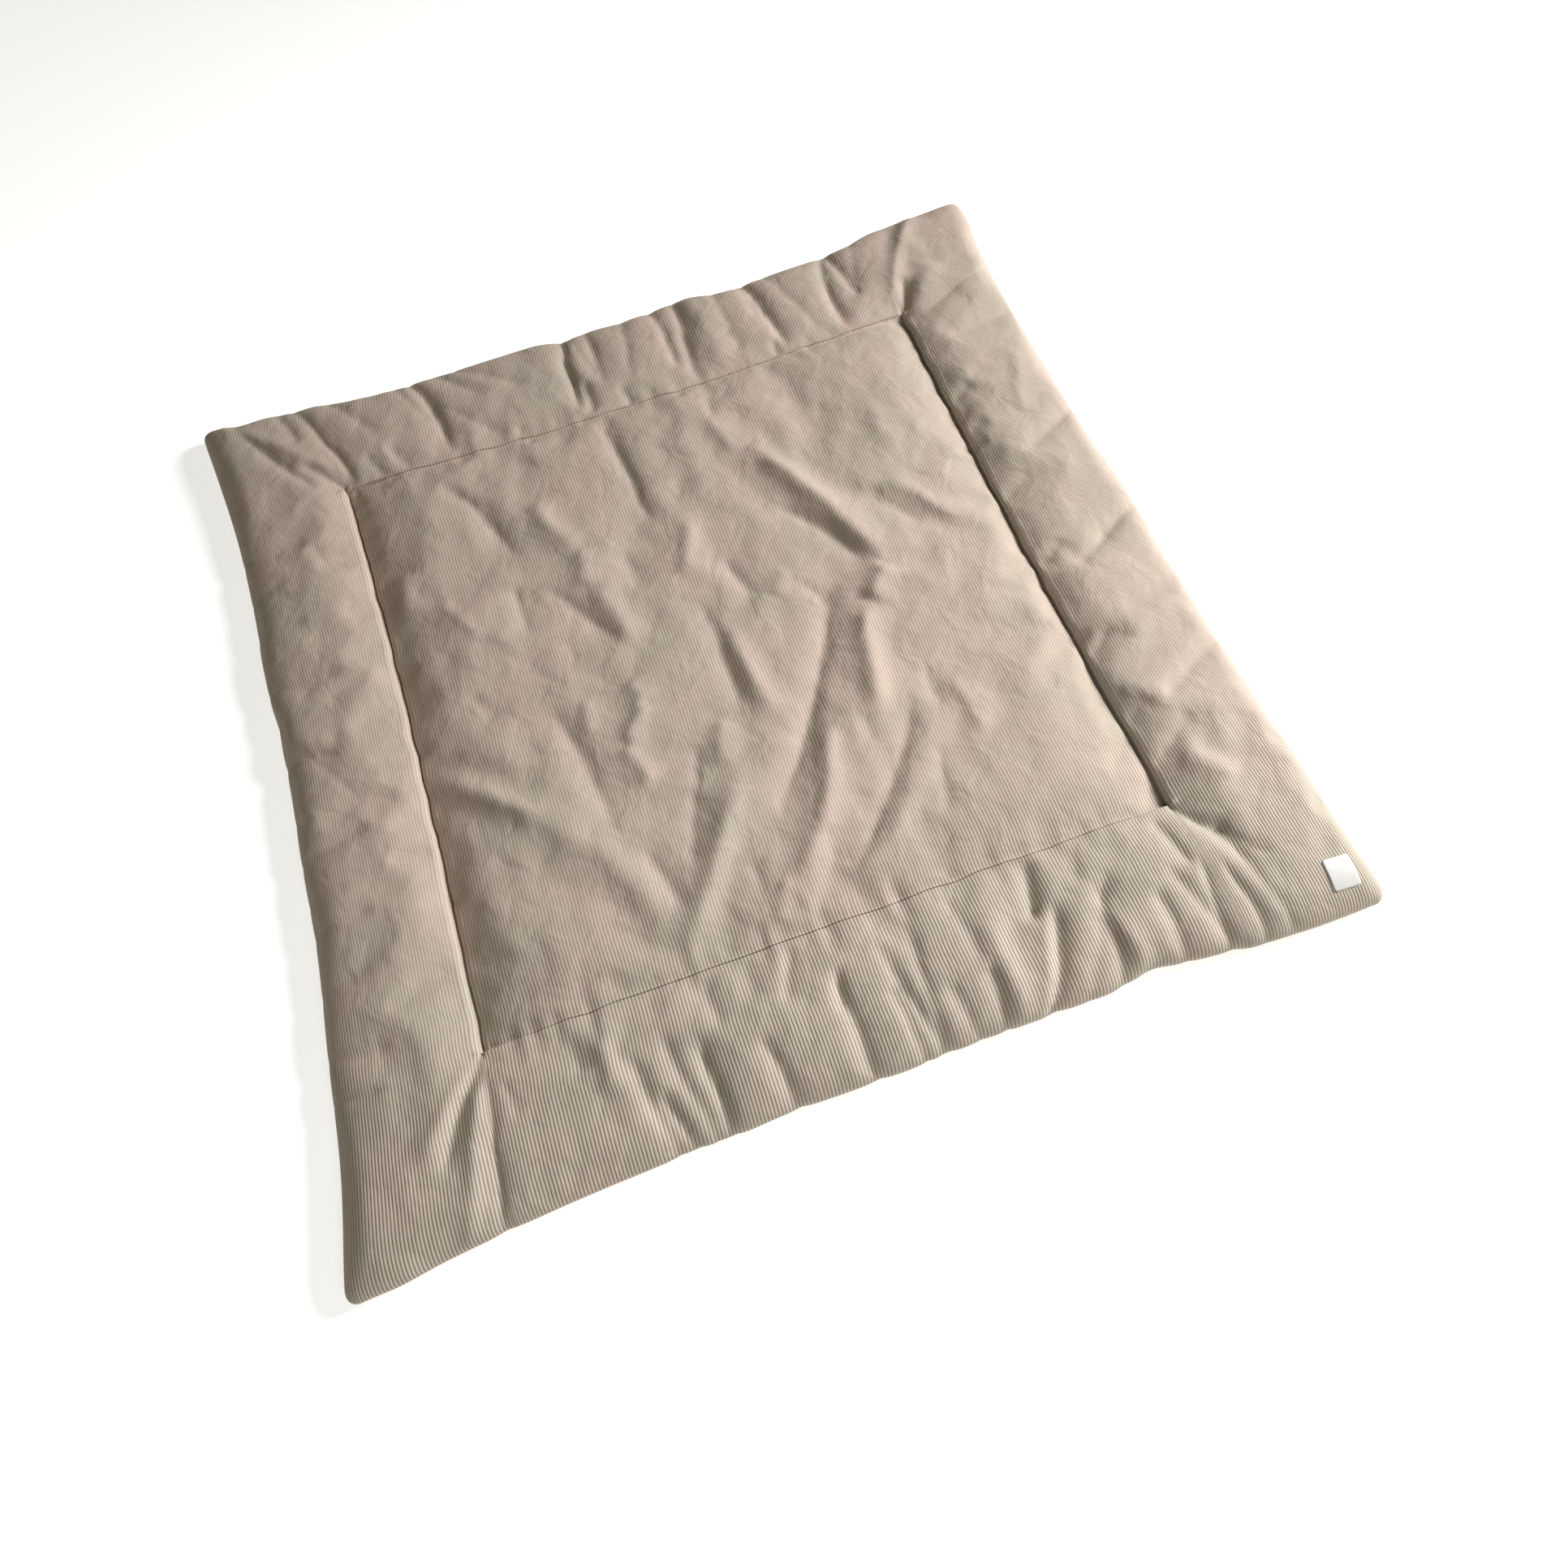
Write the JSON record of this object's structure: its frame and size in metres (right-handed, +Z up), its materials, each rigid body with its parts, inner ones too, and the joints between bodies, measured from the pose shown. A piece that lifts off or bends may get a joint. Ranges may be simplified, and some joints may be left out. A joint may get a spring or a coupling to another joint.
{
  "type": "baby play mat",
  "caption": "Square padded corduroy play mat with a puffy border round a stitched inner square, drawn-in sides, gathered folds and a bare corner label.",
  "frame": {"origin": "middle of the mat's box in plan, on the surface that the mat lies on", "axes": "+Z up from the underside through the upper cloth, +Y from the near side to the far side of the picture, along the corduroy's ribs, +X to the right"},
  "size_m": [1.0048, 1.002, 0.0418],
  "materials": {
    "corduroy": "matt ribbed corduroy in a warm beige taupe",
    "woven_label": "smooth off-white woven tape"
  },
  "bodies": {
    "root": {"mat": "corduroy", "corner_label": "woven_label"}
  },
  "joints": []
}
